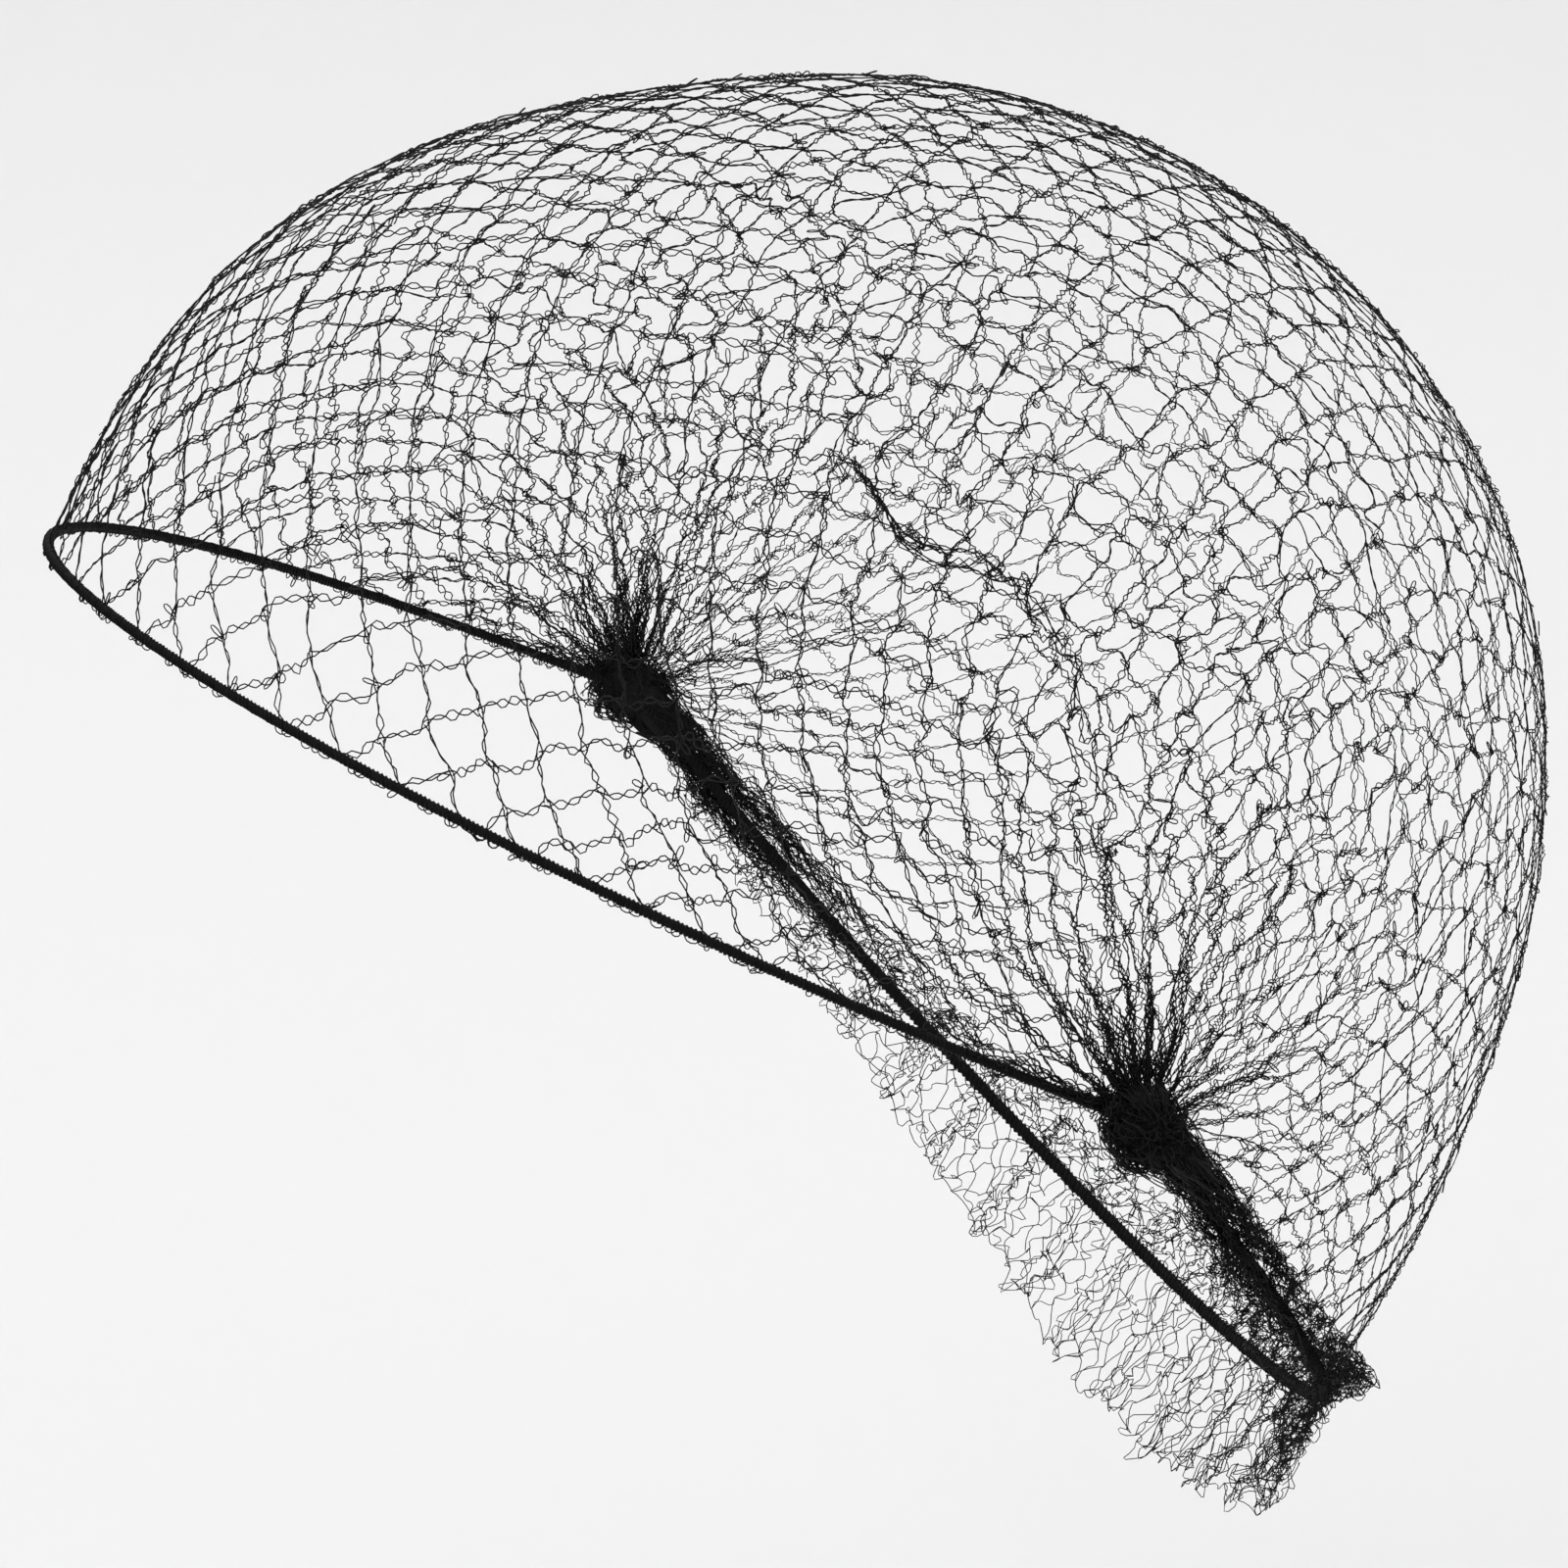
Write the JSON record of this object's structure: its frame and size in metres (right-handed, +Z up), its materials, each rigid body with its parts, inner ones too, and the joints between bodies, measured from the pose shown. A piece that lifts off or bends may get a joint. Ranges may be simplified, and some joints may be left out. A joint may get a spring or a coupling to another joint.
{
  "type": "hairnet",
  "caption": "Worn hairnet of open black diamond net with an elastic front edge, bunched above the ears and ruffled at the nape. It keeps hair in place.",
  "frame": {"origin": "top of the head hollow, on the mid-plane, where the net rests on the crown of the head", "axes": "+Z up through the crown of an upright head, -Y towards the forehead, +X towards the wearer's left ear"},
  "size_m": [0.1624, 0.19, 0.1943],
  "materials": {
    "net": "fine black nylon chain-stitch net",
    "elastic": "black thread-covered elastic"
  },
  "bodies": {
    "root": {"crown_net": "net", "front_band": "elastic", "nape_band": "elastic", "ear_gather_left": "net", "ear_gather_right": "net", "nape_frill": "net"}
  },
  "joints": []
}
